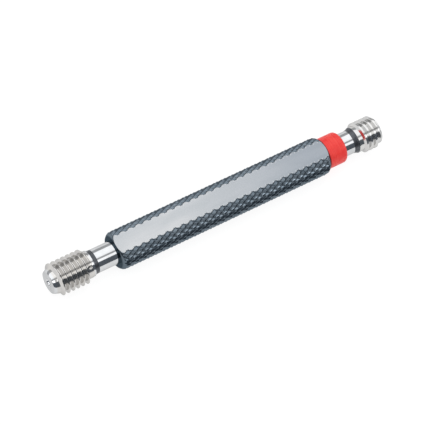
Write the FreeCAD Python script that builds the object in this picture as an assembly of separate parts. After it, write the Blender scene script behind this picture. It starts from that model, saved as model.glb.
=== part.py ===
import FreeCAD, Part
import math
import os

# Double-ended thread plug gauge, M8 x 1.25.
# All lengths in millimetres.  The gauge lies on the XY plane with its axis
# along X: the GO end points to -X, the NO-GO end to +X, and the two flats of
# the handle face +Z and -Z.  The origin is at the bottom centre of the box.

# ---------------------------------------------------------------- dimensions
pitch = 1.25                 # M8 coarse
flank_deg = 30.0             # half of the 60 degree thread angle

# handle
handle_len = 56.4
handle_r = 4.63              # over the knurl
flat_h = 3.83                # each flat's distance from the axis
end_face_r = 3.83            # flat end face outside radius
end_round_len = 1.5          # axial length of the rounded end
bore_r = 2.5                 # blind bores for the two shanks
bore_depth = 15.0
drill_point_deg = 59.0       # half of the 118 degree drill point

# GO member, measured from its free face
go_len = 16.8                # face to the handle's end face
go_major_r = 4.005
go_root_r = 3.20
go_crest_half = pitch / 16.0 + 0.003
go_first_crest = 1.53        # crest where the thread passes the datum angle
go_turns_before = 0.21       # thread starts this many turns before it
go_turns_after = 6.32        # and stops this many turns after it
go_face_r = 2.68
go_bevel = (0.40, 2.90)      # end of the bevel: distance, radius
go_lead = (1.15, 3.14)       # end of the lead-in taper
go_collar = (10.2, 3.14)     # plain collar behind the thread
go_collar_end = (10.62, 2.98)
go_relief_end = 11.66        # undercut tapers down to the neck here

# NO-GO member, measured from the handle's end face
nogo_len = 15.0
nogo_major_r = 3.83          # truncated crests
nogo_root_r = 3.19
nogo_crest_half = 0.24
nogo_first_crest = 10.02
nogo_turns_before = 0.17
nogo_turns_after = 3.36
nogo_relief = (7.42, 8.64)   # undercut: neck end, collar start
nogo_face_r = 3.00
nogo_chamfer = 0.80          # 45 degree chamfer at the free end

# both members
neck_r = 2.825
shank_len = 14.5
datum_deg = 16.8             # angle from +Y where the first crests are given
centre_r = 0.98              # 60 degree centre hole at the mouth
centre_pilot_r = 0.40
centre_pilot_depth = 2.1

# NO-GO marker ring
ring_r = 3.80
ring_len = 5.05
ring_round_start = 0.90      # from its free end
ring_round_mid = (0.38, 3.43)
ring_end_r = 2.90
ring_edge = 0.12

# ------------------------------------------------------------------ stations
total = go_len + handle_len + nogo_len
x_go = -total / 2.0
x_h0 = x_go + go_len
x_h1 = x_h0 + handle_len
x_ng = x_h1 + nogo_len
axis_z = go_major_r          # the GO crest is the lowest point of the gauge

V = FreeCAD.Vector
X_AXIS = V(1, 0, 0)


def revolve(points):
    """Solid of revolution about X from (x, r) points or three-point arcs."""
    edges = []
    last = points[0]
    i = 1
    while i < len(points):
        p = points[i]
        if p[0] == "arc":
            mid, end = p[1], p[2]
            edges.append(Part.Arc(V(last[0], 0, last[1]), V(mid[0], 0, mid[1]),
                                  V(end[0], 0, end[1])).toShape())
            last = end
        else:
            if abs(p[0] - last[0]) > 1e-9 or abs(p[1] - last[1]) > 1e-9:
                edges.append(Part.makeLine(V(last[0], 0, last[1]), V(p[0], 0, p[1])))
            last = p
        i += 1
    first = points[0]
    if abs(first[0] - last[0]) > 1e-9 or abs(first[1] - last[1]) > 1e-9:
        edges.append(Part.makeLine(V(last[0], 0, last[1]), V(first[0], 0, first[1])))
    face = Part.Face(Part.Wire(edges))
    return face.revolve(V(0, 0, 0), X_AXIS, 360)


def thread_ridge(major_r, foot_r, crest_half, x_datum, before, after):
    """Right-hand thread ridge: a trapezium swept along a helix about X.

    x_datum is where the crest crosses the datum angle for the first time;
    the ridge runs from 'before' turns ahead of it to 'after' turns past it.
    """
    foot_half = crest_half + (major_r - foot_r) * math.tan(math.radians(flank_deg))
    turns = before + after
    helix = Part.makeHelix(pitch, pitch * turns, foot_r)
    corners = [V(foot_r, 0, -foot_half), V(major_r, 0, -crest_half),
               V(major_r, 0, crest_half), V(foot_r, 0, foot_half)]
    section = Part.makePolygon(corners + [corners[0]])
    ridge = Part.Wire(helix.Edges).makePipeShell([section], True, True)
    # the helix starts at angle 0, which becomes -Z once the axis lies along X
    start_deg = datum_deg - 360.0 * before + 90.0
    ridge.rotate(V(0, 0, 0), V(0, 0, 1), start_deg)
    ridge.translate(V(0, 0, x_datum - pitch * before))
    ridge.rotate(V(0, 0, 0), V(0, 1, 0), 90)
    return ridge


def centre_hole(x_face, inward):
    """60 degree centre hole with its pilot, cut in from x_face."""
    cone = (centre_r - centre_pilot_r) / math.tan(math.radians(30.0))
    tip = centre_pilot_r / math.tan(math.radians(drill_point_deg))
    d = inward
    return revolve([(x_face - 0.5 * d, 0.0), (x_face - 0.5 * d, centre_r),
                    (x_face, centre_r), (x_face + cone * d, centre_pilot_r),
                    (x_face + centre_pilot_depth * d, centre_pilot_r),
                    (x_face + (centre_pilot_depth + tip) * d, 0.0)])


# -------------------------------------------------------------------- handle
# tangent arc that runs the knurled diameter down to the flat end face
drop = handle_r - end_face_r
arc_r = (end_round_len ** 2 + drop ** 2) / (2.0 * drop)
half = end_round_len / 2.0
mid_r = handle_r - (arc_r - math.sqrt(arc_r ** 2 - half ** 2))
handle = revolve([
    (x_h0, 0.0), (x_h0, end_face_r),
    ("arc", (x_h0 + half, mid_r), (x_h0 + end_round_len, handle_r)),
    (x_h1 - end_round_len, handle_r),
    ("arc", (x_h1 - half, mid_r), (x_h1, end_face_r)),
    (x_h1, 0.0)])
for sign in (1, -1):
    z0 = flat_h if sign > 0 else -flat_h - 5.0
    handle = handle.cut(Part.makeBox(handle_len + 4.0, 4 * handle_r, 5.0,
                                     V(x_h0 - 2.0, -2 * handle_r, z0)))
tip = bore_r / math.tan(math.radians(drill_point_deg))
for x_face, d in ((x_h0, 1), (x_h1, -1)):
    handle = handle.cut(revolve([
        (x_face - 1.0 * d, 0.0), (x_face - 1.0 * d, bore_r),
        (x_face + bore_depth * d, bore_r),
        (x_face + (bore_depth + tip) * d, 0.0)]))

# ----------------------------------------------------------------- GO member
go_core = revolve([
    (x_go, 0.0), (x_go, go_face_r),
    (x_go + go_bevel[0], go_bevel[1]),
    (x_go + go_lead[0], go_lead[1]),
    (x_go + go_lead[0] + 0.12, go_root_r),
    (x_go + go_collar[0] - 0.06, go_root_r),
    (x_go + go_collar[0], go_collar[1]),
    (x_go + go_collar_end[0], go_collar_end[1]),
    (x_go + go_relief_end, neck_r),
    (x_h0, neck_r), (x_h0, bore_r),
    (x_h0 + shank_len - 0.4, bore_r),
    (x_h0 + shank_len, bore_r - 0.4),
    (x_h0 + shank_len, 0.0)])
go_ridge = thread_ridge(go_major_r, go_root_r - 0.1, go_crest_half,
                        x_go + go_first_crest, go_turns_before, go_turns_after)
go_member = go_core.fuse(go_ridge).cut(centre_hole(x_go, 1))

# -------------------------------------------------------------- NO-GO member
nogo_core = revolve([
    (x_ng, 0.0), (x_ng, nogo_face_r),
    (x_ng - (nogo_root_r - nogo_face_r), nogo_root_r),
    (x_h1 + nogo_relief[1], nogo_root_r),
    (x_h1 + nogo_relief[0], neck_r),
    (x_h1, neck_r), (x_h1, bore_r),
    (x_h1 - shank_len + 0.4, bore_r),
    (x_h1 - shank_len, bore_r - 0.4),
    (x_h1 - shank_len, 0.0)])
nogo_ridge = thread_ridge(nogo_major_r, nogo_root_r - 0.04, nogo_crest_half,
                          x_h1 + nogo_first_crest, nogo_turns_before,
                          nogo_turns_after)
# the free end's chamfer trims the last crest
envelope = revolve([
    (x_h1 - shank_len - 1.0, 0.0), (x_h1 - shank_len - 1.0, nogo_major_r + 0.2),
    (x_ng - nogo_chamfer - 0.2, nogo_major_r + 0.2),
    (x_ng, nogo_face_r), (x_ng, 0.0)])
nogo_member = nogo_core.fuse(nogo_ridge).common(envelope).cut(centre_hole(x_ng, -1))

# --------------------------------------------------------------- marker ring
x_r1 = x_h1 + ring_len
no_go_ring = revolve([
    (x_h1, neck_r), (x_h1, ring_r - ring_edge), (x_h1 + ring_edge, ring_r),
    (x_r1 - ring_round_start, ring_r),
    ("arc", (x_r1 - ring_round_mid[0], ring_round_mid[1]), (x_r1, ring_end_r)),
    (x_r1, neck_r)])

# -------------------------------------------------------------------- output
parts = {
    "handle": handle,
    "go_member": go_member,
    "no_go_member": nogo_member,
    "no_go_ring": no_go_ring,
}

os.makedirs("parts", exist_ok=True)
for name, shape in parts.items():
    shape = shape.removeSplitter() if name == "handle" else shape
    if len(shape.Solids) != 1:
        raise RuntimeError("%s has %d solids" % (name, len(shape.Solids)))
    solid = shape.Solids[0]
    solid.translate(V(0, 0, axis_z))
    if not solid.isValid():
        raise RuntimeError("%s is not valid" % name)
    solid.exportStep(os.path.join("parts", name + ".step"))
    b = solid.BoundBox
    print("%-14s volume %9.2f mm3  x %7.2f..%7.2f  y %6.3f..%6.3f  z %6.3f..%6.3f"
          % (name, solid.Volume, b.XMin, b.XMax, b.YMin, b.YMax, b.ZMin, b.ZMax))
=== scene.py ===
import math

import bmesh
import bpy
import numpy as np
from mathutils import Matrix, Vector


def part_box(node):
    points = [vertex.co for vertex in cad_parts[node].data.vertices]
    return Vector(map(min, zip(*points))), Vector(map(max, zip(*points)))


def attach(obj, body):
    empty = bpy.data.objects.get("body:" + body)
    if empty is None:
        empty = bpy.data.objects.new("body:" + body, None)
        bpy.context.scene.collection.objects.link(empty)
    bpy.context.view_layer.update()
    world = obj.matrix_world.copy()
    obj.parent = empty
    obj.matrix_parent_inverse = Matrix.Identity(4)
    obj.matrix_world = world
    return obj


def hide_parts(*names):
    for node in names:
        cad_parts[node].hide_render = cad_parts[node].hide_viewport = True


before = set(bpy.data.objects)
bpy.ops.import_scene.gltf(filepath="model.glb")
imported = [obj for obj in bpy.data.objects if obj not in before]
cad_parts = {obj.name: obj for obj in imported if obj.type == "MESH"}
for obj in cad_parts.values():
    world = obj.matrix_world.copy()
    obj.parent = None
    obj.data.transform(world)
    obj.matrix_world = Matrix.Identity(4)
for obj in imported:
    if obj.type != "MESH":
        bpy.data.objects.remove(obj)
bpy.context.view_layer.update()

MM = 0.001
TAU = 2.0 * math.pi

# ------------------------------------------------------------------ stations
# Everything below is in millimetres along the gauge's axis and about it, and
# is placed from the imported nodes' boxes.
h_lo, h_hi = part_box("handle")
g_lo, g_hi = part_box("go_member")
n_lo, n_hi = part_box("no_go_member")
r_lo, r_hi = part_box("no_go_ring")
XH0, XH1 = h_lo.x / MM, h_hi.x / MM
XGO, XNG = g_lo.x / MM, n_hi.x / MM
XR1 = r_hi.x / MM
HANDLE_R = (h_hi.y - h_lo.y) / 2 / MM
FLAT_H = (h_hi.z - h_lo.z) / 2 / MM
AXIS_Z = (h_hi.z + h_lo.z) / 2 / MM
RING_R = (r_hi.z - r_lo.z) / 2 / MM
BORE_DEPTH = 15.0
SHANK_LEN = (g_hi.x / MM) - XH0
PITCH = 1.25
NECK_R = 2.825
BORE_R = 2.5


# ---------------------------------------------------------------- mesh tools
class Builder:
    """Collects vertices (x, radius, angle about X from +Y toward +Z) and faces."""

    def __init__(self):
        self.co = []
        self.faces = []
        self.mat = []

    def v(self, x, r, a):
        self.co.append((x * MM, r * math.cos(a) * MM, (r * math.sin(a) + AXIS_Z) * MM))
        return len(self.co) - 1

    def ring(self, x, r, n, a0=0.0):
        return [self.v(x, r, a0 + TAU * i / n) for i in range(n)]

    def face(self, idx, mat=0):
        idx = [k for j, k in enumerate(idx) if k != idx[j - 1]]
        if len(idx) >= 3:
            self.faces.append(tuple(idx))
            self.mat.append(mat)

    def band(self, a, b, mat=0):
        """Quads between two rings; b lies further along +X on an outer wall."""
        n = len(a)
        for i in range(n):
            j = (i + 1) % n
            self.face((a[i], b[i], b[j], a[j]), mat)

    def cap(self, ring, x, mat=0, flip=False):
        c = self.v(x, 0.0, 0.0)
        n = len(ring)
        for i in range(n):
            j = (i + 1) % n
            self.face((c, ring[i], ring[j]) if flip else (c, ring[j], ring[i]), mat)

    def mesh(self, name, mats, smooth_deg=28.0):
        me = bpy.data.meshes.new(name)
        me.from_pydata(self.co, [], self.faces)
        for m in mats:
            me.materials.append(m)
        me.polygons.foreach_set("material_index", self.mat)
        me.validate()
        bm = bmesh.new()
        bm.from_mesh(me)
        bmesh.ops.remove_doubles(bm, verts=bm.verts, dist=1e-8)
        bmesh.ops.recalc_face_normals(bm, faces=bm.faces)
        bm.to_mesh(me)
        bm.free()
        me.shade_smooth()
        me.set_sharp_from_angle(angle=math.radians(smooth_deg))
        ob = bpy.data.objects.new(name, me)
        bpy.context.scene.collection.objects.link(ob)
        return ob


def add_attr(ob, name, values):
    at = ob.data.attributes.new(name, "FLOAT", "POINT")
    at.data.foreach_set("value", np.asarray(values, np.float32))


def local(ob):
    """x, radius and angle of every vertex, in millimetres."""
    co = np.zeros(len(ob.data.vertices) * 3)
    ob.data.vertices.foreach_get("co", co)
    co = co.reshape(-1, 3) / MM
    z = co[:, 2] - AXIS_Z
    return co[:, 0], np.hypot(co[:, 1], z), np.arctan2(z, co[:, 1])


# ------------------------------------------------------------ material tools
class Nodes:
    def __init__(self, name):
        self.mat = bpy.data.materials.new(name)
        self.mat.use_nodes = True
        self.nt = self.mat.node_tree
        self.nt.nodes.clear()
        self.out = self.nt.nodes.new("ShaderNodeOutputMaterial")
        self.bsdf = self.nt.nodes.new("ShaderNodeBsdfPrincipled")
        self.link(self.bsdf.outputs[0], self.out.inputs[0])
        self.tc = self.nt.nodes.new("ShaderNodeTexCoord")

    def link(self, a, b):
        self.nt.links.new(a, b)

    def new(self, kind, **props):
        n = self.nt.nodes.new(kind)
        for k, v in props.items():
            setattr(n, k, v)
        return n

    def put(self, socket, value):
        if isinstance(value, bpy.types.NodeSocket):
            self.link(value, socket)
        else:
            socket.default_value = value

    def set(self, **values):
        for k, v in values.items():
            self.put(self.bsdf.inputs[k.replace("_", " ")], v)

    def math(self, op, a, b=0.0, c=None, clamp=False):
        n = self.new("ShaderNodeMath", operation=op, use_clamp=clamp)
        self.put(n.inputs[0], a)
        self.put(n.inputs[1], b)
        if c is not None:
            self.put(n.inputs[2], c)
        return n.outputs[0]

    def coords(self, scale=(1, 1, 1)):
        """Object coordinates in millimetres, scaled per axis."""
        m = self.new("ShaderNodeMapping", vector_type="POINT")
        self.link(self.tc.outputs["Object"], m.inputs["Vector"])
        m.inputs["Scale"].default_value = tuple(1000.0 * s for s in scale)
        return m.outputs[0]

    def noise(self, vector, scale, detail=3.0, rough=0.55, distortion=0.0):
        n = self.new("ShaderNodeTexNoise")
        self.link(vector, n.inputs["Vector"])
        n.inputs["Scale"].default_value = scale
        n.inputs["Detail"].default_value = detail
        n.inputs["Roughness"].default_value = rough
        n.inputs["Distortion"].default_value = distortion
        return n.outputs["Fac"]

    def span(self, value, lo, hi, out_lo=0.0, out_hi=1.0):
        n = self.new("ShaderNodeMapRange", clamp=True)
        self.put(n.inputs["Value"], value)
        n.inputs["From Min"].default_value = lo
        n.inputs["From Max"].default_value = hi
        n.inputs["To Min"].default_value = out_lo
        n.inputs["To Max"].default_value = out_hi
        return n.outputs["Result"]

    def mix(self, fac, a, b, blend="MIX"):
        n = self.new("ShaderNodeMix", data_type="RGBA", blend_type=blend)
        self.put(n.inputs[0], fac)
        self.put(n.inputs[6], a if isinstance(a, bpy.types.NodeSocket) else (*a, 1.0))
        self.put(n.inputs[7], b if isinstance(b, bpy.types.NodeSocket) else (*b, 1.0))
        return n.outputs[2]

    def attr(self, name):
        n = self.new("ShaderNodeAttribute", attribute_name=name)
        return n.outputs["Fac"]

    def bump(self, height, distance, strength=1.0):
        n = self.new("ShaderNodeBump")
        n.inputs["Distance"].default_value = distance * MM
        n.inputs["Strength"].default_value = strength
        self.link(height, n.inputs["Height"])
        self.link(n.outputs[0], self.bsdf.inputs["Normal"])

    def polar(self):
        """Coordinates (along, radius, arc) about the gauge's axis, in millimetres."""
        sep = self.new("ShaderNodeSeparateXYZ")
        self.link(self.tc.outputs["Object"], sep.inputs[0])
        x = self.math("MULTIPLY", sep.outputs[0], 1000.0)
        y = self.math("MULTIPLY", sep.outputs[1], 1000.0)
        z = self.math("MULTIPLY_ADD", sep.outputs[2], 1000.0, -AXIS_Z)
        a = self.math("ARCTAN2", z, y)
        r = self.math("SQRT", self.math("ADD", self.math("MULTIPLY", y, y),
                                        self.math("MULTIPLY", z, z)))
        return x, r, a

    def vec(self, x, y, z):
        n = self.new("ShaderNodeCombineXYZ")
        for s, v in zip(n.inputs, (x, y, z)):
            self.put(s, v)
        return n.outputs[0]


def ground_steel(name, color, rough, marks=0.5, tint=(0.02, 0.015, 0.0)):
    """Hardened steel with fine circumferential grinding marks."""
    m = Nodes(name)
    x, r, a = m.polar()
    lines = m.noise(m.vec(m.math("MULTIPLY", x, 9.0), m.math("MULTIPLY", r, 9.0),
                          m.math("MULTIPLY", a, 0.35)), 1.0, 4.0, 0.6)
    cloud = m.noise(m.coords(), 0.55, 3.0, 0.5)
    fac = m.span(cloud, 0.3, 0.7)
    lo = tuple(max(0.0, c - t) for c, t in zip(color, (0.05, 0.05, 0.05)))
    hi = tuple(min(1.0, c + t) for c, t in zip(color, tint))
    m.set(Base_Color=m.mix(fac, lo, hi), Metallic=1.0)
    m.set(Roughness=m.span(lines, 0.3, 0.7, rough * (1 - 0.35 * marks),
                           rough * (1 + 0.45 * marks)))
    m.set(Specular_Tint=(0.70, 0.70, 0.70, 1.0))
    m.bump(lines, 0.004 * marks)
    return m.mat


def relief_steel(name):
    """The unground bottom of an undercut, and the centre holes, kept dark: painted shade for these
    recesses, standing in for the dark reflections and shadow in them.
    """
    m = Nodes(name)
    x, r, a = m.polar()
    lines = m.noise(m.vec(m.math("MULTIPLY", x, 6.0), m.math("MULTIPLY", r, 6.0),
                          m.math("MULTIPLY", a, 0.6)), 1.0, 4.0, 0.6)
    cloud = m.noise(m.coords(), 0.9, 4.0, 0.6)
    # painted shade: the base colour is kept dark for the recesses
    m.set(Base_Color=m.mix(m.span(cloud, 0.3, 0.7), (0.066, 0.071, 0.080),
                           (0.128, 0.134, 0.146)), Metallic=1.0)
    m.set(Roughness=m.span(lines, 0.3, 0.7, 0.32, 0.52))
    m.bump(lines, 0.012)
    return m.mat


def black_knurl():
    """Blackened steel, worn bright on the points of the knurl."""
    m = Nodes("handle_blackened")
    peak = m.attr("peak")
    x, r, a = m.polar()
    grain = m.noise(m.coords(), 7.0, 4.0, 0.65)
    cloud = m.noise(m.coords(), 0.35, 3.0, 0.5)
    base = m.mix(m.span(cloud, 0.35, 0.65), (0.118, 0.148, 0.176), (0.155, 0.186, 0.215))
    # the turned end faces are painted darker still: painted shade standing in for the dark reflections
    # and the neck's shadow on them
    end = m.math("MULTIPLY", m.span(x, XH0 + 0.30, XH0 + 0.02),
                 m.span(r, HANDLE_R - 0.35, HANDLE_R - 0.75))
    end2 = m.math("MULTIPLY", m.span(x, XH1 - 0.30, XH1 - 0.02),
                  m.span(r, HANDLE_R - 0.35, HANDLE_R - 0.75))
    base = m.mix(m.math("MAXIMUM", end, end2), base, (0.055, 0.070, 0.085))
    wear = m.math("MULTIPLY", m.span(peak, 0.82, 1.0, 0.0, 0.8), m.span(grain, 0.35, 0.7))
    m.set(Base_Color=m.mix(wear, base, (0.50, 0.53, 0.56)), Metallic=1.0)
    m.set(Roughness=m.span(grain, 0.3, 0.7, 0.12, 0.24))
    m.set(Specular_Tint=(0.45, 0.48, 0.50, 1.0))
    m.bump(grain, 0.006)
    return m.mat


def satin(name, lo, hi, bright, rough):
    """Milled steel: light satin grey, with painted shade that darkens it toward the NO-GO end for the
    light falling off along the flat.
    """
    m = Nodes(name)
    x, r, a = m.polar()
    speck = m.noise(m.coords(), 5.0, 4.0, 0.7)
    drift = m.noise(m.coords((0.25, 1.0, 1.0)), 0.35, 3.0, 0.5)
    c = m.mix(m.span(drift, 0.35, 0.65), lo, hi)
    c = m.mix(m.span(speck, 0.3, 0.75, 0.0, 0.30), c, bright)
    # painted shade: the colour darkens toward +X, standing in for the light falling off along the flat
    painted_falloff_shade = m.span(m.math("ADD", x, m.span(drift, 0.3, 0.7, -2.0, 2.0)), -12.0, 26.0)
    c = m.mix(m.math("MULTIPLY", painted_falloff_shade, 1.0), c, m.mix(1.0, c, (0.62, 0.66, 0.71), "MULTIPLY"))
    # the rounded rim keeps a light steel colour, out of the painted falloff shade: partly its real
    # wear and partly a painted highlight for the bright pads the edge catches
    rim = m.span(m.attr("rim"), 0.05, 0.75)
    m.set(Base_Color=m.mix(rim, c, (0.50, 0.51, 0.52)), Metallic=1.0)
    m.set(Roughness=m.math("MULTIPLY", m.span(speck, 0.3, 0.7, rough - 0.05, rough + 0.05),
                           m.span(rim, 0.0, 1.0, 1.0, 0.50)))
    m.bump(speck, 0.004)
    return m.mat


def red_plastic():
    m = Nodes("ring_red")
    x, r, a = m.polar()
    turn = m.noise(m.vec(m.math("MULTIPLY", x, 5.0), m.math("MULTIPLY", r, 5.0),
                         m.math("MULTIPLY", a, 0.5)), 1.0, 3.0, 0.6)
    cloud = m.noise(m.coords(), 0.8, 3.0, 0.55)
    col = m.mix(m.span(cloud, 0.3, 0.7), (0.75, 0.020, 0.020), (0.81, 0.042, 0.034))
    col = m.mix(m.span(turn, 0.45, 0.75, 0.0, 0.60), col, (0.90, 0.11, 0.085))
    # painted shade: deeper red in the corner against the handle, where shade falls
    m.set(Base_Color=m.mix(m.span(x, XH1 + 0.30, XH1 + 0.06), col, (0.22, 0.008, 0.012)))
    m.bsdf.inputs["Specular IOR Level"].default_value = 0.35
    m.set(Roughness=m.span(turn, 0.3, 0.7, 0.36, 0.50))
    m.bump(turn, 0.012)
    return m.mat


MAT_KNURL = black_knurl()
MAT_FLAT = satin("handle_flat_satin", (0.420, 0.442, 0.460), (0.500, 0.512, 0.524),
                 (0.70, 0.71, 0.72), 0.45)
MAT_NECK = ground_steel("steel_polished", (0.62, 0.63, 0.64), 0.075, 0.6, (0.03, 0.03, 0.03))
MAT_GO_THREAD = ground_steel("steel_ground_thread", (0.60, 0.59, 0.58), 0.13, 0.9)
MAT_NOGO_THREAD = ground_steel("steel_ground_truncated", (0.62, 0.62, 0.62), 0.13, 0.8)
MAT_RELIEF = relief_steel("steel_undercut")
MAT_RED = red_plastic()


# -------------------------------------------------------------------- handle
STARTS = 24                  # grooves each way round the handle
KNURL_P = 2.078              # axial period of the diamonds
KNURL_DEPTH = 0.34
KNURL_PHASE = 0.16           # periods along
KNURL_TURN = 0.0             # starts round
SUB = 10                     # grid steps in one diamond, each way
END_R = 3.83                 # flat end face
END_ROUND = 1.45             # length of the rounded end


def smooth_radius(d):
    """Radius of the turned blank at distance d from its end face."""
    if d >= END_ROUND:
        return HANDLE_R
    drop = HANDLE_R - END_R
    arc_r = (END_ROUND ** 2 + drop ** 2) / (2 * drop)
    k = END_ROUND - d
    return HANDLE_R - (arc_r - math.sqrt(arc_r ** 2 - k * k))


def diamond(a, b):
    """Height 0..1 of the knurl at a (starts round) and b (periods along)."""
    u, v = a + b, a - b
    tu = 1 - abs(2 * (u - math.floor(u)) - 1)
    tv = 1 - abs(2 * (v - math.floor(v)) - 1)
    h = min(tu, tv)
    if h > 0.90:                         # the tops are a little flattened
        h = 0.90 + (h - 0.90) * 0.30
    return h / 0.93


RIM_SOFT = 0.035             # how far the flat's worn edge reaches, in height
RIM_WIDTH = 0.05


def build_handle():
    B = Builder()
    n = STARTS * SUB
    fine = 2                                   # extra rows over the rounded ends
    step = KNURL_P / SUB
    rows = []                                  # (x, periods along, grid step)
    floor_d = 0.30                             # where the grooves reach the face
    for d in (0.0, 0.03, 0.08, 0.15, 0.22):
        rows.append((XH0 + d, None))
    k = math.ceil(floor_d / (step / fine))
    x = XH0 + k * step / fine
    while x < XH1 - floor_d:
        rows.append((x, (x - XH0) / KNURL_P + KNURL_PHASE))
        near = min(x - XH0, XH1 - x) < END_ROUND + 0.15
        k += 1 if (near or k % fine) else fine
        x = XH0 + k * step / fine
    for d in (0.22, 0.15, 0.08, 0.03, 0.0):
        rows.append((XH1 - d, None))
    a0 = KNURL_TURN
    peaks = []
    rings = []
    for x, b in rows:
        ring = []
        base = smooth_radius(min(x - XH0, XH1 - x))
        for i in range(n):
            r, p = base, 0.0
            if b is not None:
                h = diamond(i / SUB + a0, b)
                knurl = HANDLE_R - KNURL_DEPTH * (1.0 - h)
                if knurl < base:
                    r, p = knurl, h
                elif base > HANDLE_R - 0.02:
                    p = h
            peaks.append(p)
            ring.append(B.v(x, r, TAU * i / n))
        rings.append(ring)
    for q in range(len(rings) - 1):
        A, C = rings[q], rings[q + 1]
        for i in range(n):
            j = (i + 1) % n
            if rows[q][1] is None or rows[q + 1][1] is None:
                B.face((A[i], C[i], C[j], A[j]))
                continue
            # split the cell along the groove or ridge that crosses it
            a, b = (i + 0.5) / SUB + a0, 0.5 * (rows[q][1] + rows[q + 1][1])
            u, v = a + b, a - b
            du, dv = abs(u - round(u)), abs(v - round(v))
            if dv < du:                          # a groove of the a-b family
                B.face((A[i], C[i], C[j]))
                B.face((A[i], C[j], A[j]))
            else:
                B.face((A[i], C[i], A[j]))
                B.face((C[i], C[j], A[j]))
    # end faces and blind bores
    for ring, x, d in ((rings[0], XH0, 1.0), (rings[-1], XH1, -1.0)):
        prev = ring
        for xx, rr in ((x, 3.4), (x, 3.0), (x, BORE_R + 0.12), (x + 0.12 * d, BORE_R),
                       (x + BORE_DEPTH * d, BORE_R)):
            nxt = B.ring(xx, rr, n)
            peaks.extend([0.0] * n)
            B.band(prev, nxt) if d < 0 else B.band(nxt, prev)
            prev = nxt
        B.cap(prev, x + (BORE_DEPTH + BORE_R / math.tan(math.radians(59.0))) * d)
        peaks.append(0.0)
    me = bpy.data.meshes.new("knurled_handle")
    me.from_pydata(B.co, [], B.faces)
    me.materials.append(MAT_KNURL)
    me.materials.append(MAT_FLAT)
    bm = bmesh.new()
    bm.from_mesh(me)
    lay = bm.verts.layers.float.new("peak")
    bm.verts.ensure_lookup_table()
    for v, p in zip(bm.verts, peaks):
        v[lay] = p
    bmesh.ops.recalc_face_normals(bm, faces=bm.faces)
    # the two flats: cut the skin along each plane, then bring everything above
    # it down onto the plane, with the edge worn round
    rim = bm.verts.layers.float.new("rim")
    for sgn in (1, -1):
        bmesh.ops.bisect_plane(
            bm, geom=bm.verts[:] + bm.edges[:] + bm.faces[:], dist=1e-7,
            plane_co=Vector((0, 0, (AXIS_Z + sgn * FLAT_H) * MM)),
            plane_no=Vector((0, 0, sgn)))
    for f in bm.faces:
        c = f.calc_center_median()
        if abs(c.z / MM - AXIS_Z) > FLAT_H and abs(f.normal.x) < 0.99:
            f.material_index = 1
    for v in bm.verts:
        z = v.co.z / MM - AXIS_Z
        up = abs(z)
        gap = up - FLAT_H
        v[rim] = min(1.0, max(0.0, 1.0 - gap / RIM_WIDTH))
        k = max(0.0, RIM_SOFT - abs(gap))
        new = min(up, FLAT_H) - k * k / (4.0 * RIM_SOFT)
        v.co.z = (AXIS_Z + math.copysign(new, z)) * MM
    bmesh.ops.recalc_face_normals(bm, faces=bm.faces)
    bm.to_mesh(me)
    bm.free()
    me.shade_smooth()
    me.set_sharp_from_angle(angle=math.radians(30.0))
    ob = bpy.data.objects.new("knurled_handle", me)
    bpy.context.scene.collection.objects.link(ob)
    return ob


# ------------------------------------------------------------------- threads
def add_thread(B, n, x_c, ang, turns, root_r, knots, radius, mat_of, ring_in, ring_out):
    """A right-hand helical skin with its two run-out wedges.

    x_c, ang  where the ridge's centre line starts
    knots     (position across one pitch 0..1), ridge centred on 0.5
    radius    function(turn, knot position, x, angle) -> radius
    ring_in, ring_out are not used.
    """
    N = int(round(turns * n))
    K = len(knots) - 1
    x0 = x_c - 0.5 * PITCH
    idx = {}

    def at(i, k):
        if k == K and i + n <= N:
            return at(i + n, 0)
        key = (i, k)
        if key not in idx:
            a = ang + TAU * i / n
            x = x0 + PITCH * (i / n + knots[k])
            idx[key] = B.v(x, radius(i / n, knots[k], x, a), a)
        return idx[key]

    for i in range(N):
        for k in range(K):
            m = mat_of(i / n, 0.5 * (knots[k] + knots[k + 1]))
            B.face((at(i, k), at(i, k + 1), at(i + 1, k + 1), at(i + 1, k)), m)
    # lead-in wedge
    w_in = {}

    def lead(m, q):
        if q == K:
            return at(m, 0)
        if m == n:
            return at(0, q)
        if m == 0:
            return at(0, 0)
        if (m, q) not in w_in:
            a = ang + TAU * m / n
            x = x0 + PITCH * knots[q] * m / n
            w_in[(m, q)] = B.v(x, radius(None, None, x, a), a)
        return w_in[(m, q)]

    for m in range(n):
        for q in range(K):
            B.face((lead(m, q), lead(m, q + 1), lead(m + 1, q + 1), lead(m + 1, q)),
                   mat_of(None, knots[q]))
    w_out = {}
    x_e = x0 + PITCH * (N / n + 1.0)

    def tail(m, q):
        if q == 0:
            return at(N - n + m, K)
        if m == 0:
            return at(N, q)
        if m == n:
            return at(N, K)
        if (m, q) not in w_out:
            a = ang + TAU * (N - n + m) / n
            xu = x0 + PITCH * ((N - n + m) / n + 1.0)
            x = xu + knots[q] * (x_e - xu)
            w_out[(m, q)] = B.v(x, radius(None, None, x, a), a)
        return w_out[(m, q)]

    for m in range(n):
        for q in range(K):
            B.face((tail(m, q), tail(m, q + 1), tail(m + 1, q + 1), tail(m + 1, q)),
                   mat_of(None, knots[q]))
    first = [lead(m, 0) for m in range(n)]
    last = [tail(m, K) for m in range(n)]
    return first, x0, last, x_e, ang, ang + TAU * (N - n) / n


def profile_knots(crest_half, flank, extra):
    """Knots across one pitch: root, flank, crest and the other side."""
    c, f = crest_half / PITCH, flank / PITCH
    half = [0.0, 0.012, 0.03, 0.10, 0.25, 0.40, 0.55, 0.70, 0.85, 0.94]
    left = [0.5 - c - f * (1 - t) for t in half]
    top = [0.5 - c, 0.5 - c * 0.82, 0.5 - c * 0.4, 0.5]
    k = sorted(set([0.0] + extra + left + top))
    k = [v for v in k if v >= 0.0]
    return sorted(set([round(v, 6) for v in k] + [round(1.0 - v, 6) for v in k]))


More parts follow.
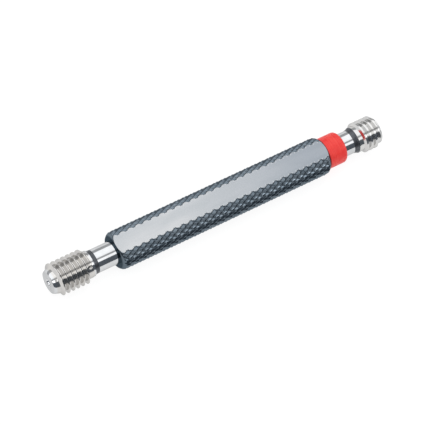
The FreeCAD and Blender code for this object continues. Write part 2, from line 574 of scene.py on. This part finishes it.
def ridge_radius(t, root_r, major_r, crest_half, flank, soft):
    """Radius at position t across the pitch (0..1)."""
    d = abs(t - 0.5) * PITCH
    if d <= crest_half:
        k = max(0.0, d / crest_half - 0.82) / 0.18
        return major_r - soft * k * k
    e = (d - crest_half) / flank
    if e >= 1.0:
        return root_r
    return root_r + (major_r - soft - root_r) * (1.0 - e)


def ramp(t, lo, hi):
    k = min(1.0, max(0.0, (t - lo) / (hi - lo)))
    return k * k * (3 - 2 * k)


def build_go():
    B = Builder()
    n = 144
    major, root, crest_half = 4.005, 3.20, PITCH / 16 + 0.003
    flank = min(0.5 * PITCH - crest_half - 0.005, (major - root) * math.tan(math.radians(30)))
    first, before, after = XGO + 1.53, 0.21, 6.32
    datum = math.radians(16.8)
    knots = profile_knots(crest_half, flank, [])
    turns = before + after
    end_fade = 0.05

    def body(x):
        """Radius of the plain core at x."""
        d = x - XGO
        pts = ((0.40, 2.90), (1.15, 3.14), (1.27, root), (10.14, root), (10.2, 3.14))
        if d <= pts[0][0]:
            return pts[0][1]
        for (xa, ra), (xb, rb) in zip(pts, pts[1:]):
            if d <= xb:
                return ra + (rb - ra) * (d - xa) / (xb - xa)
        return pts[-1][1]

    def radius(turn, t, x, a):
        core = body(x)
        if turn is None:
            return core
        e = ramp(turn, 0.0, 0.035) * ramp(turns - turn, 0.0, end_fade)
        r = ridge_radius(t, root, major, crest_half, flank, 0.02)
        return max(core, core + (r - root) * e) if r > root else core

    first_ring, xa, last_ring, xb, a_in, a_out = add_thread(
        B, n, first - PITCH * before, datum - TAU * before, turns, root, knots,
        radius, lambda turn, t: 1, None, None)
    # forward to the free face
    prev = first_ring
    # the inner part of the centre hole takes the dark undercut steel: painted shade inside the hole
    for d, r, m in ((0.40, 2.90, 0), (0.10, 2.745, 0), (0.0, 2.66, 0), (0.0, 1.9, 0),
                    (0.0, 1.02, 0), (0.05, 0.97, 0), (0.45, 0.74, 0), (1.02, 0.40, 2), (2.1, 0.40, 2)):
        if XGO + d > xa and r > 2.8:
            continue
        nxt = B.ring(XGO + d, r, n, a_in)
        B.band(nxt, prev, m)
        prev = nxt
    B.cap(prev, XGO + 2.34, 2)
    # back through collar, undercut and neck into the handle
    prev = last_ring
    # the collar's back chamfer and the undercut take the dark undercut steel: painted shade in the
    # recess
    prof = [(10.2, 3.14, 1), (10.56, 3.14, 0), (10.62, 2.98, 2), (10.90, 2.90, 2),
            (11.30, 2.83, 2), (11.66, NECK_R, 2), (12.2, NECK_R, 0), (16.8, NECK_R, 0),
            (16.8, BORE_R, 0), (16.8 + SHANK_LEN - 0.4, BORE_R, 0),
            (16.8 + SHANK_LEN, BORE_R - 0.4, 0)]
    for d, r, m in prof:
        if XGO + d <= xb + 0.02:
            continue
        nxt = B.ring(XGO + d, r, n, a_out)
        B.band(prev, nxt, m)
        prev = nxt
    B.cap(prev, XGO + 16.8 + SHANK_LEN, 0, True)
    return B.mesh("go_thread_member", [MAT_NECK, MAT_GO_THREAD, MAT_RELIEF])


def build_nogo():
    B = Builder()
    n = 144
    major, root, crest_half = 3.83, 3.19, 0.24
    flank = (major - root) * math.tan(math.radians(30))
    flank = min(flank, 0.5 * PITCH - crest_half - 0.005)
    first, before, after = XH1 + 10.02, 0.17, 3.36
    datum = math.radians(16.8)
    turns = before + after
    knots = profile_knots(crest_half, flank, [])

    def core_r(x):
        return min(root, 3.0 + (XNG - x))

    def radius(turn, t, x, a):
        core = core_r(x)
        if turn is None:
            return core
        e = ramp(turn, 0.0, 0.10)
        r = ridge_radius(t, root, major, crest_half, flank, 0.015)
        r = core + (r - root) * e if r > root else core
        return min(r, 3.0 + (XNG - x))

    first_ring, xa, last_ring, xb, a_in, a_out = add_thread(
        B, n, first - PITCH * before, datum - TAU * before, turns, root, knots,
        radius, lambda turn, t: 1, None, None)
    prev = first_ring
    # the undercut behind the thread takes the dark undercut steel: painted shade in the recess
    for d, r, m in ((8.64, root, 1), (8.40, 3.07, 2), (8.10, 2.96, 2), (7.75, 2.87, 2),
                    (7.42, NECK_R, 2), (6.9, NECK_R, 0), (0.0, NECK_R, 0),
                    (0.0, BORE_R, 0), (-SHANK_LEN + 0.4, BORE_R, 0),
                    (-SHANK_LEN, BORE_R - 0.4, 0)):
        nxt = B.ring(XH1 + d, r, n, a_in)
        B.band(nxt, prev, m)
        prev = nxt
    B.cap(prev, XH1 - SHANK_LEN, 0)
    prev = last_ring
    # the centre hole takes the dark undercut steel: painted shade inside the hole
    for d, r, m in ((0.0, 3.0, 0), (0.0, 1.9, 0), (0.0, 1.02, 0), (-0.05, 0.97, 2),
                    (-1.02, 0.40, 2), (-2.1, 0.40, 2)):
        nxt = B.ring(XNG + d, r, n, a_out)
        B.band(prev, nxt, m)
        prev = nxt
    B.cap(prev, XNG - 2.34, 2, True)
    return B.mesh("no_go_thread_member", [MAT_NECK, MAT_NOGO_THREAD, MAT_RELIEF])


def build_ring():
    B = Builder()
    n = 160
    L = XR1 - XH1
    prof = [(0.0, NECK_R), (0.0, 3.3), (0.0, RING_R - 0.10), (0.03, RING_R - 0.04),
            (0.10, RING_R - 0.008), (0.25, RING_R)]
    for k in range(1, 8):
        prof.append((0.25 + (L - 0.90 - 0.25) * k / 8.0, RING_R))
    for k in range(0, 13):
        a = k / 12.0
        # the rounded free shoulder
        q = a * math.radians(76)
        xx = L - 0.90 + 0.92 * math.sin(q)
        rr = RING_R - (RING_R - 2.90) * (1 - math.cos(q)) / (1 - math.cos(math.radians(76)))
        prof.append((min(xx, L), rr))
    prof.append((L, NECK_R))
    rings = [B.ring(XH1 + x, r, n) for x, r in prof]
    for a, b in zip(rings, rings[1:]):
        B.band(a, b)
    B.band(rings[-1], rings[0])
    return B.mesh("marker_ring", [MAT_RED], 40.0)


pieces = (
    (build_handle(), "handle", "handle_steel"),
    (build_go(), "go_member", "go_steel"),
    (build_nogo(), "no_go_member", "no_go_steel"),
    (build_ring(), "no_go_ring", "red_ring"),
)
for ob, node, slot in pieces:
    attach(ob, "root")
    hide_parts(node)

# --------------------------------------------------------------------- floor
fm = Nodes("floor_white")
fn = fm.noise(fm.coords(), 0.02, 2.0, 0.5)
fm.set(Base_Color=fm.mix(fn, (0.19, 0.19, 0.19), (0.21, 0.21, 0.21)))
fm.bsdf.inputs["Roughness"].default_value = 0.9
fm.bsdf.inputs["Specular IOR Level"].default_value = 0.1
fm.bsdf.inputs["Emission Color"].default_value = (1.0, 1.0, 1.0, 1.0)
fm.bsdf.inputs["Emission Strength"].default_value = 0.86
bm = bmesh.new()
bmesh.ops.create_grid(bm, x_segments=8, y_segments=8, size=6.0)
me = bpy.data.meshes.new("floor")
bm.to_mesh(me)
bm.free()
me.materials.append(fm.mat)
floor = bpy.data.objects.new("floor", me)
bpy.context.scene.collection.objects.link(floor)

# -------------------------------------------------------------------- camera
# The photograph's viewing angle: the gauge runs from lower left to upper
# right, seen from above with its GO end nearer.
THETA, PHI, ROLL = math.radians(69.0), math.radians(16.8), math.radians(25.145)
FOCAL, SCALE = 2600.0, 4.385           # pixels, pixels per mm at the axis point
PX, PY = 212.02, 206.13                # where that point falls, of 425 x 425
c = Vector((-math.cos(THETA), -math.sin(THETA) * math.sin(PHI),
            math.sin(THETA) * math.cos(PHI)))
xp = Vector((math.sin(THETA), -math.cos(THETA) * math.sin(PHI),
             math.cos(THETA) * math.cos(PHI)))
up = Vector((0.0, math.cos(PHI), math.sin(PHI)))
right = xp * math.cos(ROLL) - up * math.sin(ROLL)
top = xp * math.sin(ROLL) + up * math.cos(ROLL)
dist = FOCAL / SCALE
off_a = (PX - 212.5) / FOCAL * dist
off_b = -(PY - 212.5) / FOCAL * dist
target = Vector((XH0 + 26.2, 0.0, AXIS_Z))
loc = (target + c * dist - right * off_a - top * off_b) * MM
cam_data = bpy.data.cameras.new("camera")
cam_data.sensor_fit = "HORIZONTAL"
cam_data.sensor_width = 36.0
cam_data.lens = 36.0 * FOCAL / 425.0
cam_data.clip_start = 0.01
cam_data.clip_end = 50.0
cam = bpy.data.objects.new("camera", cam_data)
rot = Matrix((right, top, c)).transposed()
cam.matrix_world = Matrix.Translation(loc) @ rot.to_4x4()
bpy.context.scene.collection.objects.link(cam)
bpy.context.scene.camera = cam


# -------------------------------------------------------------------- lights
def area(name, loc, aim, size, size_y, power, color=(1, 1, 1), spread=180.0):
    ld = bpy.data.lights.new(name, "AREA")
    ld.shape = "RECTANGLE"
    ld.size, ld.size_y = size, size_y
    ld.energy = power
    ld.color = color
    ld.spread = math.radians(spread)
    ob = bpy.data.objects.new(name, ld)
    d = (Vector(aim) - Vector(loc)).normalized()
    x_axis = Vector((1, 0, 0))
    x_axis = (x_axis - d * x_axis.dot(d)).normalized()
    y_axis = (-d).cross(x_axis)
    ob.matrix_world = Matrix.Translation(Vector(loc)) @ Matrix(
        (x_axis, y_axis, -d)).transposed().to_4x4()
    bpy.context.scene.collection.objects.link(ob)
    return ob


def polar(beta_deg, dist, x=0.0):
    """Point at beta from straight up toward +Y, about the gauge's axis."""
    b = math.radians(beta_deg)
    return (x, dist * math.sin(b), dist * math.cos(b))


def radiance(size, size_y, value):
    """Power in watts of a one-sided area light of that radiance."""
    return value * math.pi * size * size_y


# back softbox: from straight up to two thirds down behind the gauge
D = 0.60


def softbox(name, b0, b1, value, x0, x1):
    """An area light that spans the angles b0..b1 about the gauge's axis."""
    mid, half = 0.5 * (b0 + b1), math.radians(0.5 * (b1 - b0))
    w, h = x1 - x0, 2 * D * math.tan(half)
    area(name, polar(mid, D, 0.5 * (x0 + x1)), (0.5 * (x0 + x1), 0, 0.004), w, h,
         radiance(w, h, value))


softbox("softbox_main", 8.0, 57.0, 1.00, -0.85, 0.75)
softbox("softbox_fill", -3.5, 8.0, 0.88, -0.85, 0.75)
softbox("softbox_front", -40.5, -19.5, 1.00, 0.05, 0.38)
softbox("softbox_front_b", -40.5, -19.5, 1.90, 0.38, 0.90)
softbox("softbox_front_c", -44.0, -16.5, 4.60, 0.90, 2.60)
softbox("softbox_front_l", -41.0, -19.5, 2.20, -0.85, -0.26)


def card(name, y, z0, z1, x0, x1, value):
    """A plain flag that only shows in reflections."""
    m = Nodes(name + "_paint")
    k = m.noise(m.coords(), 0.02, 2.0, 0.5)
    m.set(Base_Color=m.mix(k, (value * 0.88, value, value * 1.16),
                           (value * 0.94, value * 1.07, value * 1.24)))
    m.bsdf.inputs["Roughness"].default_value = 1.0
    m.bsdf.inputs["Specular IOR Level"].default_value = 0.0
    me = bpy.data.meshes.new(name)
    me.from_pydata([(x0, y, z0), (x1, y, z0), (x1, y, z1), (x0, y, z1)], [], [(0, 1, 2, 3)])
    me.materials.append(m.mat)
    ob = bpy.data.objects.new(name, me)
    bpy.context.scene.collection.objects.link(ob)
    ob.visible_camera = False
    ob.visible_shadow = False
    ob.visible_diffuse = False
    return ob


card("flag_front", -0.42, 0.0, 0.475, -1.6, 1.6, 0.12)

world = bpy.data.worlds.new("studio")
bpy.context.scene.world = world
world.use_nodes = True
bg = world.node_tree.nodes["Background"]
bg.inputs[0].default_value = (0.92, 0.93, 0.95, 1.0)
bg.inputs[1].default_value = 0.55

bpy.context.scene.view_settings.view_transform = "Standard"
bpy.context.scene.view_settings.look = "None"
bpy.context.scene.view_settings.exposure = 0.0
